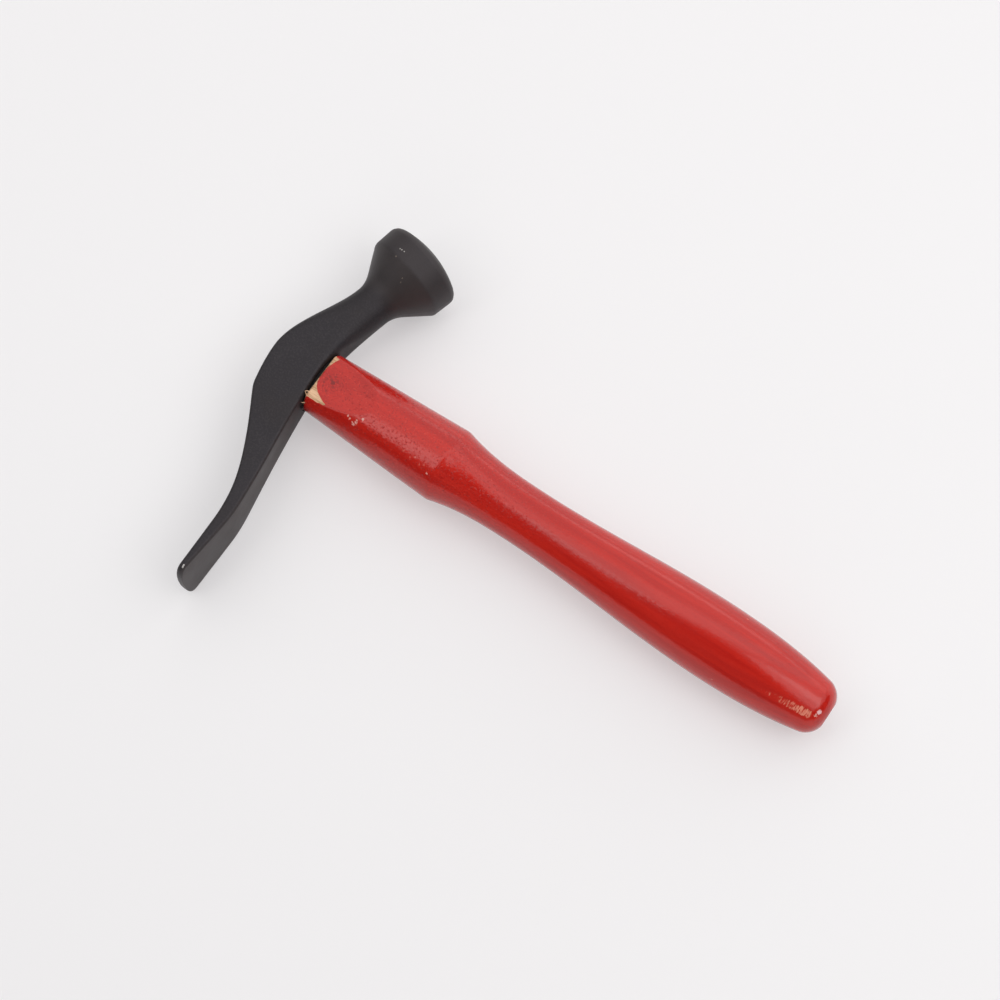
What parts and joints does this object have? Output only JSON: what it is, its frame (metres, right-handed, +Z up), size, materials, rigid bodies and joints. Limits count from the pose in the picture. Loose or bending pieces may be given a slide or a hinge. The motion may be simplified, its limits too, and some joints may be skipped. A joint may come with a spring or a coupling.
{
  "type": "shoemaker's hammer",
  "caption": "Shoemaker's hammer with a broad crowned face, a curved peen that flares to a thin spade tip, and a turned waisted wooden handle wedged into the eye.",
  "frame": {"origin": "middle of the hammer's bounding box, on the bench that it lies on", "axes": "+X along the handle towards its butt, +Y along the head towards the striking face, +Z up from the bench"},
  "size_m": [0.2231, 0.1444, 0.0324],
  "materials": {
    "black_paint": "satin",
    "red_paint": "gloss",
    "bare_wood": "matte",
    "bare_steel": "satin"
  },
  "bodies": {
    "root": {"head": "black_paint", "handle": "red_paint", "kerf_wedge": "bare_wood", "steel_wedge": "bare_steel"}
  },
  "joints": []
}
